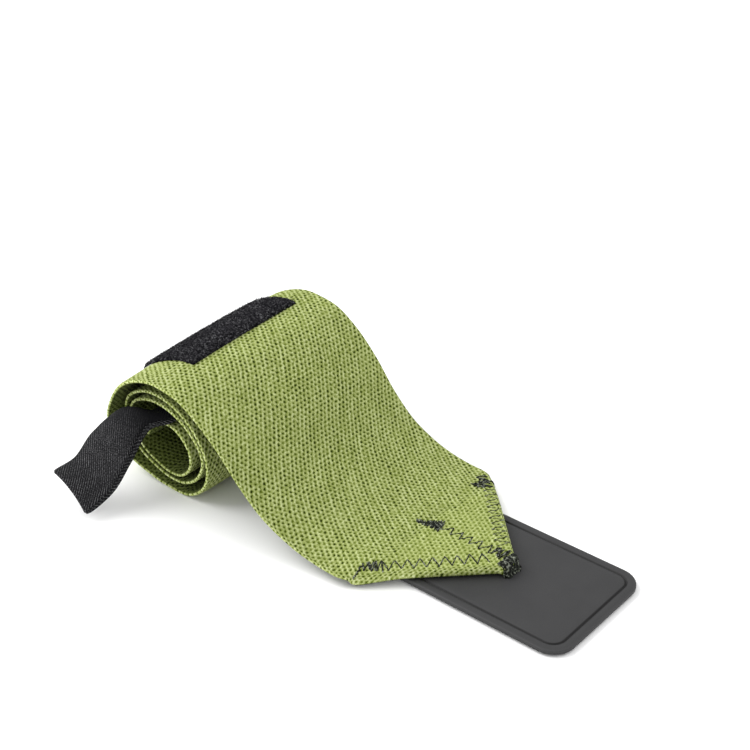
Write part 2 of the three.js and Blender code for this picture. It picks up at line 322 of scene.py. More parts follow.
def on_band(along, across, lift):
    """Points of the band: distances along it, places across it, and heights over its middle."""
    row = {name: np.interp(along, LINE["along"], values) for name, values in LINE.items()}
    rise = lift + ROLL_CROWN * row["crown"] * (1 - (across / HALF_BAND) ** 2)
    past = (np.abs(across) - TAB_WIDTH / 2) / (HALF_BAND - TAB_WIDTH / 2)
    x = row["x"] + rise * row["out_x"]
    z = row["z"] + rise * row["out_z"] - TIP_DROOP * row["flat"] * smooth_step(past)
    return tapered(x, across + row["shift"], np.maximum(z, LOWEST), row["cone"])


# Meshes


def placed(points):
    """Millimetres of the layout as metres of the frame."""
    return np.asarray(points, float) * MM + np.array(ORIGIN)


def linked(name, data):
    made = bpy.data.objects.new(name, data)
    bpy.context.collection.objects.link(made)
    return made


def mesh_piece(name, points, faces, fabric=None):
    """A new mesh piece. fabric is each vertex's place on its own flat cloth, in millimetres."""
    mesh = bpy.data.meshes.new(name)
    mesh.from_pydata(placed(points).tolist(), [], faces)
    if fabric is not None:
        place = mesh.attributes.new("fabric", "FLOAT_VECTOR", "POINT")
        place.data.foreach_set("vector", np.ravel(fabric))
    mesh.validate()
    mesh.update()
    mesh.shade_smooth()
    return linked(name, mesh)


def skin_faces(rows, size):
    """Faces of a skin over closed rings of points, with a face over each end."""
    faces = []
    for i in range(rows - 1):
        a = i * size
        for j in range(size):
            k = (j + 1) % size
            faces.append((a + j, a + size + j, a + size + k, a + k))
    faces.append(tuple(range(size)))
    faces.append(tuple(range(rows * size - 1, (rows - 1) * size - 1, -1)))
    return faces


def skin_piece(name, rings, fabric=None):
    """A closed piece over rings of points."""
    return mesh_piece(name, rings.reshape(-1, 3), skin_faces(*rings.shape[:2]), fabric)


def merged(points, fabric, faces):
    """The same skin with points that fall together made one, and its empty faces left out."""
    keys = np.round(points, 3)
    _, first, where = np.unique(keys, axis=0, return_index=True, return_inverse=True)
    where = where.ravel()
    kept = []
    for face in faces:
        around = [where[v] for v in face]
        around = [v for i, v in enumerate(around) if v != around[i - 1]]
        if len(around) > 2 and len(set(around)) == len(around):
            kept.append(tuple(int(v) for v in around))
    return points[first], fabric[first], kept


def ripples(seed, count, shortest, longest):
    """A smooth, repeatable unevenness about 1 high, as a function of two lengths."""
    rng = np.random.default_rng(seed)
    lengths = rng.uniform(shortest, longest, count)
    headings = rng.uniform(0, TAU, count)
    starts = rng.uniform(0, TAU, count)

    def height(u, v):
        waves = [
            np.sin(TAU * (u * math.cos(h) + v * math.sin(h)) / n + s)
            for n, h, s in zip(lengths, headings, starts)
        ]
        return sum(waves) / math.sqrt(count)

    return height


# The band


def half_width_at(along):
    """Half the band's width: full as far as the corners, then down to the blunt end."""
    ahead = along - CORNER_ALONG
    eased = np.clip(ahead + CORNER_EASE, 0, 2 * CORNER_EASE) ** 2 / (4 * CORNER_EASE)
    slant = HALF_BAND - np.where(ahead > CORNER_EASE, ahead, eased)
    nose = np.clip((ahead - NOSE_START) / (NOSE_END - NOSE_START), 0, 1)
    rounded = (HALF_BAND - NOSE_START) * (1 - nose**NOSE_POWER) ** (1 / NOSE_POWER)
    return np.where(nose > 0, rounded, slant)


def band_rows():
    """Distances along the band of its mesh rows, fine where its outer side shows."""
    shown_from = STITCH_ROW * round(HIDDEN_SHARE * CORNER_ALONG / STITCH_ROW)
    end = CORNER_ALONG + NOSE_END
    hidden = np.arange(0, shown_from, HIDDEN_ROW)
    return np.concatenate([hidden, np.arange(shown_from, end, STITCH_ROW)]), shown_from


def knit_relief(along, across, shown):
    """The knit's height: a hole in the middle of each ring of yarn, and a finer selvage."""
    weave = 2 * np.cos(TAU * across / REPEAT_ACROSS) * np.cos(TAU * along / REPEAT_ALONG)
    weave = weave + np.cos(2 * TAU * along / REPEAT_ALONG)
    edge = smooth_step(np.abs(across) - HALF_BAND + SELVAGE)
    rib = np.cos(TAU * along / (2 * STITCH_ROW))
    return shown * ((1 - edge) * -STITCH_DEPTH * weave + edge * SELVAGE_DEPTH * rib)


def fold_relief(along, across):
    """The top ply over the folded corners: a step where they end, a dip along their seam."""
    ahead = along - CORNER_ALONG
    inward = smooth_step((FOLD_REACH - np.abs(across)) / FOLD_FADE)
    seam = smooth_step((ahead - SEAM_AHEAD) / SEAM_FADE) * hump(across, **SEAM_DIP)
    return (hump(ahead, **RIDGE) - hump(ahead, **HOLLOW)) * inward - seam


def thinned(across, folded):
    """How much thinner the band is near its woven edges, on its inner side."""
    edge = smooth_step((np.abs(across) - HALF_BAND + THIN_FROM) / THIN_OVER)
    return EDGE_THINNING * (1 - folded) * edge


def folded_at(along):
    """How far the band is the double ply over its folded corners."""
    return smooth_step((along - CORNER_ALONG) / FOLD_START)


def edge_radius_at(along):
    return EDGE_RADIUS + (FOLD_RADIUS - EDGE_RADIUS) * folded_at(along)


def flat_half_at(along):
    """Half the band's width between its rounded edges, as a column of the mesh rows."""
    return np.maximum(half_width_at(along) - edge_radius_at(along), LEAST_HALF)[:, None]


def fabric_places(across, along, through):
    """Places on the flat cloth: across, along, and 0 to 1 through from its outer side."""
    return np.stack([across, along, np.broadcast_to(through, across.shape)], axis=-1)


def outer_side(rows, shown):
    """The outer side's points and their places on the cloth."""
    reach = HALF_BAND - EDGE_RADIUS
    columns = np.linspace(-reach, reach, STITCH_COLUMNS + 1)
    limit = flat_half_at(rows)
    across = np.clip(columns[None, :], -limit, limit)
    along = np.repeat(rows[:, None], across.shape[1], axis=1)
    stagger = ripples(seed=3, count=14, shortest=7, longest=40)
    swell = ripples(seed=5, count=12, shortest=14, longest=60)
    lift = BAND_THICKNESS / 2 + knit_relief(along, across, shown[:, None])
    lift += fold_relief(along, across) + SWELL * swell(along, across)
    inside = smooth_step((limit - np.abs(across)) / STAGGER_FADE)
    moved = along + STAGGER * inside * stagger(along, across)
    return on_band(moved, across, lift), fabric_places(across, along, 0)


def inner_side(rows):
    """The inner side's points, from the far edge back, with the folded corners under the tip."""
    share = np.linspace(1, -1, INNER_COLUMNS + 1)[None, :]
    across = share * flat_half_at(rows)
    along = np.repeat(rows[:, None], across.shape[1], axis=1)
    folded = folded_at(along)
    in_middle = np.abs(share) < 1 / INNER_COLUMNS
    seam = FOLDS_APART * folded * in_middle
    depth = BAND_THICKNESS * (0.5 + folded) - seam - thinned(across, folded)
    return on_band(along, across, -depth), fabric_places(across, along, 1)


def edge_arc(rows, side):
    """The rounded edge from the outer to the inner side. The knit runs on round it."""
    turn = np.radians(EDGE_DEGREES)[None, :]
    radius = edge_radius_at(rows)[:, None]
    half = flat_half_at(rows)
    along = np.repeat(rows[:, None], turn.shape[1], axis=1)
    folded = folded_at(along)
    top = BAND_THICKNESS / 2
    bottom = thinned(HALF_BAND, folded) - BAND_THICKNESS * (0.5 + folded)
    across = side * (half + radius * np.sin(turn))
    lift = (top + bottom) / 2 + (top - bottom) / 2 * np.cos(turn)
    run_on = radius * np.sin(turn) + (top - lift)
    slanted = folded / math.sqrt(2)
    place_across = across + side * run_on * (1 - folded + slanted)
    place = fabric_places(place_across, along + run_on * slanted, turn / math.pi)
    return on_band(along, across, lift), place


def build_band():
    rows, shown_from = band_rows()
    shown = (rows >= shown_from - HIDDEN_ROW / 2).astype(float)
    far_points, far_place = edge_arc(rows, 1)
    near_points, near_place = edge_arc(rows, -1)
    out_points, out_place = outer_side(rows, shown)
    in_points, in_place = inner_side(rows)
    points = np.concatenate([out_points, far_points, in_points, near_points[:, ::-1]], axis=1)
    place = np.concatenate([out_place, far_place, in_place, near_place[:, ::-1]], axis=1)
    faces = skin_faces(*points.shape[:2])
    points, place, faces = merged(points.reshape(-1, 3), place.reshape(-1, 3), faces)
    return mesh_piece("band_cloth", points, faces, place)


# The stitches

THREAD_RADIUS = 0.22
TACK_RADIUS = 0.25
SUNK_THREAD_RADIUS = 0.17
THREAD_STEP = 0.45
THREAD_SUNK = 0.1
END_SHARE = 0.2
HAND_SLIP = 0.35
ABOVE_WRAP = 60

# How high the threads arch over the cloth: seams, the sunk seam, bartacks and those at the tip,
# the share of it that every other stroke has, and how much it varies
SEAM_LOFT = 0.25
SUNK_LOFT = 0.12
TACK_LOFT = 0.45
TIP_LOFT = 0.6
RETURN_LOFT = 0.35
LOFT_RANGE = (0.8, 1.3)

# Zigzag seams: where each starts and ends, its half width at both, the length of one zigzag, and
# the share of it that the first stroke takes where that isn't half
SEAMS = [
    dict(start=(-66.5, -28.5), end=(-42.3, -2.4), half=(2.3, 2.7), pitch=4.15, lean=0.38, loose=0.2),
    dict(start=(-65.4, 1.0), end=(-41.0, 1.2), half=(1.8, 2.4), pitch=3.9, lean=0.3, loose=0.2),
]
SUNK_SEAMS = [
    dict(start=(-66.5, 29.5), end=(-42.0, 4.6), half=(2.4, 2.6), pitch=3.2, loose=0.3),
]

# Bartacks: short seams sewn over themselves, in the same columns
TACKS = [
    dict(start=(-74.2, 35.5), end=(-67.6, 29.0), half=(1.6, 2.6), pitch=1.9, loose=1.5),
    dict(start=(-69.8, 34.5), end=(-70.3, 28.0), half=(1.6, 2.6), pitch=2.0, loose=1.3),
    dict(start=(-73.9, -1.8), end=(-64.7, 0.8), half=(0.3, 3.5), pitch=0.8, lean=0.3, loose=0.6),
    dict(start=(-71.1, -0.8), end=(-65.3, 1.0), half=(1.0, 2.6), pitch=0.9, lean=0.6, loose=0.6),
    dict(start=(-72.0, -32.3), end=(-67.0, -28.2), half=(1.8, 2.7), pitch=2.1, lean=0.4, loose=0.6),
    dict(start=(-71.2, -31.2), end=(-68.2, -29.2), half=(1.4, 2.4), pitch=2.0, lean=0.6, loose=0.5),
    dict(start=(-71.2, -37.4), end=(-72.4, -31.8), half=(0.3, 0.5), pitch=2.2, loose=0.4),
    dict(start=(-44.0, 2.0), end=(-39.0, 2.0), half=(1.8, 3.0), pitch=1.2, lean=0.4, loose=0.9),
]
TIP_TACKS = [
    dict(start=(-36.9, -4.2), end=(-36.7, 4.4), half=(1.7, 1.8), pitch=0.36, loose=0.6),
    dict(start=(-36.1, 3.4), end=(-36.1, -3.4), half=(2.1, 2.1), pitch=0.34, loose=0.5),
    dict(start=(-35.6, -2.6), end=(-35.6, 2.6), half=(1.6, 1.6), pitch=0.36, loose=0.4),
]


def zigzag(rng, start, end, half, pitch, loose, lean=0.5):
    """The corners of a zigzag seam along a line, as hand-guided as loose says."""
    start, end = np.array(start), np.array(end)
    length = np.linalg.norm(end - start)
    ahead = (end - start) / length
    aside = np.array([-ahead[1], ahead[0]])
    corners = []
    for k in range(int(length / pitch) + 1):
        for share, side in ((0, 1), (lean, -1)):
            slip = loose * rng.normal(0, HAND_SLIP, 2)
            at = (k + share) * pitch + slip[0]
            reach = half[0] + (half[1] - half[0]) * at / length + slip[1]
            corners.append(start + ahead * at + aside * side * reach)
    return corners


def surface_under(tree, x, y):
    """The height of the wrap's top surface at a place, in millimetres."""
    above = Vector(placed((x, y, ABOVE_WRAP)))
    hit = tree.ray_cast(above, Vector((0, 0, -1)))[0]
    return hit.z / MM if hit else TAB_TOP


def stroke(tree, a, b, loft):
    """A thread laid on the surface from a to b, sunk in at both ends."""
    count = max(4, int(np.linalg.norm(b - a) / THREAD_STEP))
    points = []
    for i in range(count + 1):
        t = i / count
        x, y = a + (b - a) * t
        rise = loft * min(1, t / END_SHARE, (1 - t) / END_SHARE) - THREAD_SUNK
        points.append((x, y, surface_under(tree, x, y) + rise))
    return points


def thread_piece(name, lines, radius):
    """Round threads along these lines."""
    curve = bpy.data.curves.new(name, "CURVE")
    curve.dimensions = "3D"
    curve.bevel_depth = radius * MM
    curve.bevel_resolution = 1
    curve.use_fill_caps = True
    for line in lines:
        spline = curve.splines.new("POLY")
        spline.points.add(len(line) - 1)
        flat = np.column_stack([placed(line), np.ones(len(line))])
        spline.points.foreach_set("co", flat.ravel())
        spline.use_smooth = True
    return linked(name, curve)


def seam_lines(tree, seams, seed, loft):
    """The threads of these seams, each stroke a line on the surface."""
    rng = np.random.default_rng(seed)
    lines = []
    for seam in seams:
        corners = zigzag(rng, **seam)
        for k, (a, b) in enumerate(zip(corners, corners[1:])):
            rise = loft * rng.uniform(*LOFT_RANGE)
            lines.append(stroke(tree, a, b, rise if k % 2 == 0 else RETURN_LOFT * rise))
    return lines


def build_stitches(band):
    bpy.context.view_layer.update()
    tree = BVHTree.FromObject(band, bpy.context.evaluated_depsgraph_get())
    seams = seam_lines(tree, SEAMS, seed=11, loft=SEAM_LOFT)
    sunk = seam_lines(tree, SUNK_SEAMS, seed=14, loft=SUNK_LOFT)
    tacks = seam_lines(tree, TACKS, seed=12, loft=TACK_LOFT)
    tacks += seam_lines(tree, TIP_TACKS, seed=13, loft=TIP_LOFT)
    return [
        thread_piece("zigzag_seams", seams, THREAD_RADIUS),
        thread_piece("sunk_seam", sunk, SUNK_THREAD_RADIUS),
        thread_piece("bartacks", tacks, TACK_RADIUS),
    ]


# The loop strip

STRIP_FORWARD = 2.2
STRIP_ASIDE = 0.6
STRIP_SLANT = 0.5
STRIP_SKEW = 1.8
PILE_STEP = 0.4
PILE_BASE = BAND_THICKNESS / 2 + 0.25
PILE_BACKING = 0.25
PILE_HEIGHT = 1.0
PILE_MEAN = 0.85
PILE_TUFTS = 0.12
PILE_WAVES = 0.08
FRAYING = 0.006
EDGE_SLOPE = 0.8
SEWN_DENT = dict(middle=1.8, spread=0.7, height=0.45)

# The loose fibres: how many, where they are rooted, how long, and how bent and wide at each point
FIBRES = 5200
FIBRE_REACH = 0.995
FIBRE_ROOT = PILE_BASE + 1.0
FIBRE_LENGTH = (0.3, 0.65)
FIBRE_BEND = (0.3, 1.0)
FIBRE_ARC = np.array([0, 0.8, 1.5, 2.2])
FIBRE_WIDTH = 0.07
FIBRE_TAPER = np.array([1, 0.9, 0.7, 0.3])


def strip_place(u, v, height):
    """A point of the loop strip: u is 0 to 1 from its back to its front, v -1 to 1 across."""
    slant = -STRIP_SLANT * v
    along = CREST_ALONG + STRIP_FORWARD - STRIP_WIDTH * (1 - u) + slant
    across = v * (STRIP_LENGTH / 2 - STRIP_SKEW * u) + STRIP_SKEW * u + STRIP_ASIDE
    return on_band(along, across, height)


def build_strip():
    """The strip's closed pad, rough on top, with its edges drawn down by the seam."""
    rng = np.random.default_rng(21)
    rows = int(STRIP_WIDTH / PILE_STEP)
    columns = int(STRIP_LENGTH / PILE_STEP)
    v, u = np.meshgrid(np.linspace(-1, 1, columns + 1), np.linspace(0, 1, rows + 1))
    place = (STRIP_LENGTH / 2 * v, STRIP_WIDTH * u)
    rim = np.minimum((0.5 - np.abs(u - 0.5)) * STRIP_WIDTH, (1 - np.abs(v)) * STRIP_LENGTH / 2)
    waves = ripples(seed=22, count=16, shortest=2, longest=9)
    rough = rng.normal(0, PILE_TUFTS, u.shape) + PILE_WAVES * waves(*place)
    sewn = smooth_step(rim / EDGE_SLOPE) * (1 - hump(rim, **SEWN_DENT))
    top = PILE_BASE + PILE_BACKING + PILE_HEIGHT * sewn * (PILE_MEAN + rough)
    frays = ripples(seed=24, count=12, shortest=1.5, longest=6)
    frayed = 1 + rng.normal(0, FRAYING, u.shape) + FRAYING * frays(*place)
    upper = strip_place(0.5 + (u - 0.5) * frayed, v * frayed, top)
    lower = strip_place(u, v, np.full(u.shape, PILE_BASE))
    points = np.concatenate([upper, lower[:, ::-1]], axis=1)
    return skin_piece("loop_strip_pad", points)


def fibre(root, heading, size, rng):
    """One loose loop of the pile as a thin bent sliver: points about its own root."""
    side = np.array([-heading[1], heading[0], 0])
    lean = np.array([heading[0], heading[1], 0])
    arc = FIBRE_ARC * rng.uniform(*FIBRE_BEND)
    reach = size * (np.sin(arc)[:, None] * np.array([0, 0, 1]) + (1 - np.cos(arc))[:, None] * lean)
    width = FIBRE_WIDTH * FIBRE_TAPER[:, None]
    return np.vstack([root + reach - width * side, root + reach + width * side])


def build_fibres():
    """Loose fibres that stand out of the strip's top and edges."""
    rng = np.random.default_rng(23)
    points, faces = [], []
    count = FIBRES
    stations = len(FIBRE_ARC)
    spots = rng.uniform(-1, 1, (count, 2)) * FIBRE_REACH
    roots = strip_place(0.5 + spots[:, 0] / 2, spots[:, 1], np.full(count, FIBRE_ROOT))
    for root in roots:
        heading = rng.uniform(0, TAU)
        size = rng.uniform(*FIBRE_LENGTH)
        start = len(points)
        points.extend(fibre(root, (math.cos(heading), math.sin(heading)), size, rng))
        for i in range(stations - 1):
            a, b = start + i, start + stations + i
            faces.append((a, a + 1, b + 1, b))
    return mesh_piece("loop_strip_fibres", np.array(points), faces)


# The thumb loop

WEBBING_STEP = 0.33
LOOP_STEPS = 34
RIB_ALONG = 1.3
RIB_ACROSS = 1.1
RIB_HEIGHT = 0.03
CORD_HEIGHT = 0.06
CORD_INSET = 0.7
CORD_SPREAD = 0.5
EDGE_STEEPNESS = 14
EDGE_SHARE = 0.35
PLY_PRESS = 0.4
LOOP_SAG = 0.45


def loop_root(out, radius):
    """A row of the loop where it lies on the roll's inner turn, at that radius."""
    lean = math.radians(LOOP_LEAN)
    return dict(
        out=out,
        side=radius * math.sin(lean) / LOOP_WIDTH,
        high=radius * math.cos(lean) / LOOP_WIDTH,
        tilt=LOOP_LEAN,
        curl=CORE_RADIUS / radius,
    )


def pressed(under_row, over_row):
    """A row of the lower ply, pressed up towards the upper one and sagging as it does."""
    row = {key: under_row[key] + PLY_PRESS * (over_row[key] - under_row[key]) for key in under_row}
    return dict(row, curl=row["curl"] + LOOP_SAG)


def loop_rows():
    """The loop's rows, out along the upper ply and back along the lower."""
    hugged = max(row["core"] for row in ROLL_ROWS if row.get("plies") == 2) * CORE_RADIUS
    under = hugged + BAND_THICKNESS / 2 + FIT_GAP + LOOP_THICKNESS / 2
    over = under + LOOP_THICKNESS + FIT_GAP
    inside = -LOOP_DEPTH / LOOP_REACH
    start = [loop_root(inside, over), loop_root(inside / 2, over), loop_root(0, over)]
    back = [loop_root(0, under), loop_root(inside / 2, under), loop_root(inside, under)]
    lower = [pressed(under_row, over_row) for under_row, over_row in zip(UNDER_PLY, OVER_PLY)]
    upper = [dict(row, curl=row["curl"] + LOOP_SAG) for row in OVER_PLY]
    return start + upper + lower[::-1] + back


def loop_point(row, across):
    """A point of the loop's middle surface, across from -1 to 1."""
    arc = across * LOOP_WIDTH / 2
    bend = row["curl"] / CORE_RADIUS
    flatwise = math.sin(bend * arc) / bend if bend else arc
    sag = (math.cos(bend * arc) - 1) / bend if bend else 0
    tilt = math.radians(row["tilt"])
    x = ROLL_X + row["side"] * LOOP_WIDTH + flatwise * math.cos(tilt) + sag * math.sin(tilt)
    z = ROLL_Z + row["high"] * LOOP_WIDTH - flatwise * math.sin(tilt) + sag * math.cos(tilt)
    y = ROLL_END_Y - row["out"] * LOOP_REACH
    return tapered(x, y, z, 1)


def webbing_relief(along, across):
    """The twill's slanting ribs, and a cord along each edge."""
    rib = np.sin(TAU * (along / RIB_ALONG - across / RIB_ACROSS))
    cord = hump(np.abs(across), LOOP_WIDTH / 2 - CORD_INSET, CORD_SPREAD)
    return RIB_HEIGHT * rib * (1 - cord) + CORD_HEIGHT * cord


def loop_surface(across):
    """The loop's middle surface as a grid of points, and the way out of it at each."""
    rows = loop_rows()
    lines = [curve_through([loop_point(row, a) for row in rows], LOOP_STEPS) for a in across]
    grid = np.stack(lines, axis=1)
    out = np.cross(np.gradient(grid, axis=0), grid[:, -1:] - grid[:, :1])
    return grid, out / np.linalg.norm(out, axis=2)[..., None]


def build_loop():
    """The closed webbing, ribbed on both faces, and its length along its middle."""
    columns = int(LOOP_WIDTH / WEBBING_STEP)
    across = np.linspace(-1, 1, columns + 1)
    grid, out = loop_surface(across)
    along = distance_along(grid[:, columns // 2])
    where, far = np.meshgrid(across * LOOP_WIDTH / 2, along)
    edge = np.clip((1 - np.abs(across)) * EDGE_STEEPNESS, EDGE_SHARE, 1)
    thick = LOOP_THICKNESS / 2 * edge[None, :] + webbing_relief(far, where)
    upper = grid + out * thick[..., None]
    lower = grid - out * thick[..., None]
    points = np.concatenate([upper, lower[:, ::-1]], axis=1)
    fabric = fabric_places(where, far, 0)
    place = np.concatenate([fabric, fabric[:, ::-1]], axis=1)
    return skin_piece("thumb_loop_webbing", points, place), along[-1]


# The rubber tab and its hook pad

CORNER_STEP = 9
LEAST_CORNER = 0.6
WALL_SLOPE = 0.08
LIP = 0.2

# The tab's rims, lower and upper, and its hollow: how far in each point is, and how far from the
# lower or the upper face
LOWER_RIM = [(0.5, 0), (0.12, 0.05), (0, 0.25)]
UPPER_RIM = [(0, 0.35), (0.1, 0.13), (0.35, 0)]
TAB_HOLLOW = [(2, 0.02), (5, 0.06), (10, 0.1)]

# The hooks: the level of their backing, its overlap with the tab, their spacing both ways, and
# their shape, as how far forward each point is and what share of the height it is down
HOOK_BASE = 0.5
HOOK_OVERLAP = 0.02
HOOK_BEVEL = 0.2
HOOK_RADIUS = 0.1
HOOK_MARGIN = HOOK_PAD_INSET + 2.2
HOOK_PITCH = 1.7
HOOK_ROW_PITCH = 1.5
HOOK_SHAPE = [(0, 0), (0, 0.6), (0.12, 0.95), (0.32, 0.95), (0.4, 0.62)]


def rounded_ring(inset, height):
    """A rounded rectangle's points, that far inside the tab's outline and that high."""
    radius = max(TAB_CORNER - inset, LEAST_CORNER)
    turn = np.radians(np.arange(0, 91, CORNER_STEP))
    points = []
    for quarter, (sx, sy) in enumerate(((1, 1), (-1, 1), (-1, -1), (1, -1))):
        cx = -TAB_LENGTH / 2 + sx * (TAB_LENGTH / 2 - inset - radius)
        cy = sy * (TAB_WIDTH / 2 - inset - radius)
        angle = turn + quarter * math.pi / 2
        points.append(np.column_stack([cx + radius * np.cos(angle), cy + radius * np.sin(angle)]))
    flat = np.vstack(points)
    return np.column_stack([flat, np.full(len(flat), height)])


def tab_section():
    """The tab's section from its underside round to its middle: how far in, and how high."""
    low, high = HOOK_PAD_THICKNESS, TAB_TOP
    groove_end = GROOVE_INSET + GROOVE_WIDTH
    rim = [(inward, low + raised) for inward, raised in LOWER_RIM]
    rim += [(inward, high - sunk) for inward, sunk in UPPER_RIM]
    groove = [
        (GROOVE_INSET - LIP, high),
        (GROOVE_INSET, high - WALL_SLOPE),
        (GROOVE_INSET + WALL_SLOPE, high - GROOVE_DEPTH),
        (groove_end - WALL_SLOPE, high - GROOVE_DEPTH),
        (groove_end, high - WALL_SLOPE),
        (groove_end + LIP, high),
    ]
    middle = [(groove_end + inward, high - sunk) for inward, sunk in TAB_HOLLOW]
    return rim + groove + middle


def build_tab():
    """The tab's skin: rounded rims, the groove, and a slightly hollow middle."""
    section = tab_section()
    rings = np.stack([rounded_ring(inset, height) for inset, height in section])
    depth = [[(inset, TAB_TOP - height, 0)] * rings.shape[1] for inset, height in section]
    return skin_piece("tab_rubber_plate", rings, depth)


def hook_line(x, y):
    """One hook of the hook tape, bent over at its tip."""
    height = HOOK_BASE - HOOK_RADIUS
    return [(x + forward, y, HOOK_BASE - share * height) for forward, share in HOOK_SHAPE]


def build_hooks():
    """The hook tape under the tab: a thin backing and rows of small hooks."""
    inset, top = HOOK_PAD_INSET, HOOK_PAD_THICKNESS + HOOK_OVERLAP
    section = [(inset + HOOK_BEVEL, HOOK_BASE), (inset, HOOK_BASE + WALL_SLOPE), (inset, top)]
    rings = np.stack([rounded_ring(inward, height) for inward, height in section])
    backing = skin_piece("hook_tape_backing", rings)
    reach = TAB_WIDTH / 2 - HOOK_MARGIN
    lines = []
    for row, y in enumerate(np.arange(-reach, reach, HOOK_ROW_PITCH)):
        offset = HOOK_PITCH / 2 * (row % 2)
        for x in np.arange(-TAB_LENGTH + HOOK_MARGIN, -HOOK_MARGIN, HOOK_PITCH):
            lines.append(hook_line(x + offset, y))
    hooks = thread_piece("hook_tape_hooks", lines, HOOK_RADIUS)
    return [backing, hooks]


# Materials


class Shader:
    """A material's nodes, added one by one."""

    def __init__(self, name):
        self.material = bpy.data.materials.new(name)
        self.material.use_nodes = True
        self.tree = self.material.node_tree
        self.surface = self.tree.nodes["Principled BSDF"]

    def add(self, kind, *inputs, **settings):
        """A node with these inputs in order: a socket to link, a value, or None to leave."""
        made = self.tree.nodes.new("ShaderNode" + kind)
        for name, value in settings.items():
            setattr(made, name, value)
        for socket, value in zip(made.inputs, inputs):
            self.join(socket, value)
        return made

    def join(self, socket, value):
        if isinstance(value, bpy.types.NodeSocket):
            self.tree.links.new(value, socket)
        elif value is not None:
            socket.default_value = value

    def math(self, operation, *values):
        return self.add("Math", *values, operation=operation).outputs[0]

    def plus(self, a, b):
        return self.math("ADD", a, b)

    def minus(self, a, b):
        return self.math("SUBTRACT", a, b)

    def times(self, a, b):
        return self.math("MULTIPLY", a, b)

    def swung(self, value, size):
        """A value from 0 to 1 as one that swings about nought, over size in all."""
        return self.math("MULTIPLY_ADD", value, size, -size / 2)

    def apart(self, value, middle):
        """How far a value is from another, on either side."""
        return self.math("ABSOLUTE", self.minus(value, middle))

    def wave_of(self, turns):
        """A cosine of a number of whole turns."""
        return self.math("COSINE", self.times(turns, TAU))

    def wave(self, source, length):
        """A cosine of a length in millimetres."""
        return self.math("COSINE", self.times(source, TAU / length))

    def noise(self, where, scale, detail=2.0, roughness=0.5, output="Fac"):
        made = self.add("TexNoise", where)
        made.inputs["Scale"].default_value = scale
        made.inputs["Detail"].default_value = detail
        made.inputs["Roughness"].default_value = roughness
        return made.outputs[output]

    def fabric(self):
        """The place on the flat cloth: the vector, and its three numbers."""
        place = self.add("Attribute", attribute_name="fabric").outputs["Vector"]
        return place, *self.add("SeparateXYZ", place).outputs

    def solid(self):
        """The place in the piece itself, in metres."""
        return self.add("TexCoord").outputs["Object"]

    def ramp(self, factor, stops):
        """A colour from these stops: each a place from 0 to 1, and its colour."""
        made = self.add("ValToRGB", factor)
        elements = made.color_ramp.elements
        while len(elements) < len(stops):
            elements.new(0.5)
        for element, (position, colour) in zip(elements, stops):
            element.position = position
            element.color = (*colour, 1)
        return made.outputs["Color"]

    def blend(self, factor, a, b, mode="MIX"):
        made = self.add("Mix", data_type="RGBA", blend_type=mode)
        self.join(made.inputs["Factor"], factor)
        self.join(made.inputs["A"], a)
        self.join(made.inputs["B"], b)
        return made.outputs["Result"]

    def spread(self, value, low, high, to_low=0.0, to_high=1.0):
        """A value's range from low to high laid over the other range, and held at its ends."""
        return self.add("MapRange", value, low, high, to_low, to_high).outputs[0]

    def finish(self, colour, roughness, height=None, depth=0.1, sheen=0.0, specular=0.5):
        """Joins up the surface. depth is the bump's height in millimetres."""
        inputs = self.surface.inputs
        self.join(inputs["Base Color"], colour)
        self.join(inputs["Roughness"], roughness)
        inputs["Specular IOR Level"].default_value = specular
        inputs["Sheen Weight"].default_value = sheen
        inputs["Sheen Roughness"].default_value = 0.5
        if height is not None:
            bump = self.add("Bump")
            bump.inputs["Strength"].default_value = 1.0
            bump.inputs["Distance"].default_value = depth * MM
            self.join(bump.inputs["Height"], height)
            self.join(inputs["Normal"], bump.outputs[0])
        return self.material


# The knit's looks: colours from the lit yarn to the holes, the knit's green with painted light on the
# yarn and painted shade in the holes, and how strongly each unevenness tells
YARN = [
    (0.0, (0.43, 0.48, 0.225)),
    (0.16, (0.32, 0.365, 0.135)),
    (0.34, (0.235, 0.277, 0.078)),
    (0.54, (0.165, 0.205, 0.043)),
    (0.7, (0.095, 0.13, 0.013)),
    (0.86, (0.018, 0.03, 0.001)),
]
# A painted highlight: pale glints on the lightest yarn
PAINTED_GLINT = (0.52, 0.58, 0.3, 1)
PULL = (0.9, 0.9, 0.0)
RISING = 1.6
STREAKS = 3.6
UNEVEN = 5.0
FLUFF = 4.6
LIGHTEST = -2.6
DARKEST = 4.6

# Shades that multiply the knit's colour: random clouds, then painted light and shade
DULL = (0.96, 0.96, 0.95)
BRIGHT = (1.04, 1.04, 1.03)
# Painted light: the flat double-ply end made lighter
LIT_FLAT_END = (1.12, 1.12, 1.08, 1)
# Painted shade in the crease across the folded end, and a painted highlight on the crest beside it
CREASE_SHADE = (0.5, 0.52, 0.45, 1)
CREST_HIGHLIGHT = (1.5, 1.5, 1.5, 1)
# Painted highlights on the rims of the roll and of the run
ROLL_RIM_HIGHLIGHT = (1.65, 1.62, 1.8, 1)
RUN_RIM_HIGHLIGHT = (1.35, 1.33, 1.45, 1)
# Painted shade on the band's inner side
INNER_SIDE_SHADE = (0.36, 0.39, 0.26, 1)


def pulled_place(s, place):
    """Places across and along the cloth, pulled a little out of line."""
    wander = s.noise(place, 0.55, output="Color")
    half = (0.5, 0.5, 0.5)
    pull = s.add("VectorMath", wander, half, operation="SUBTRACT").outputs[0]
    pulled = s.add("VectorMath", pull, PULL, place, operation="MULTIPLY_ADD")
    across, along, _ = s.add("SeparateXYZ", pulled.outputs[0]).outputs
    return across, along


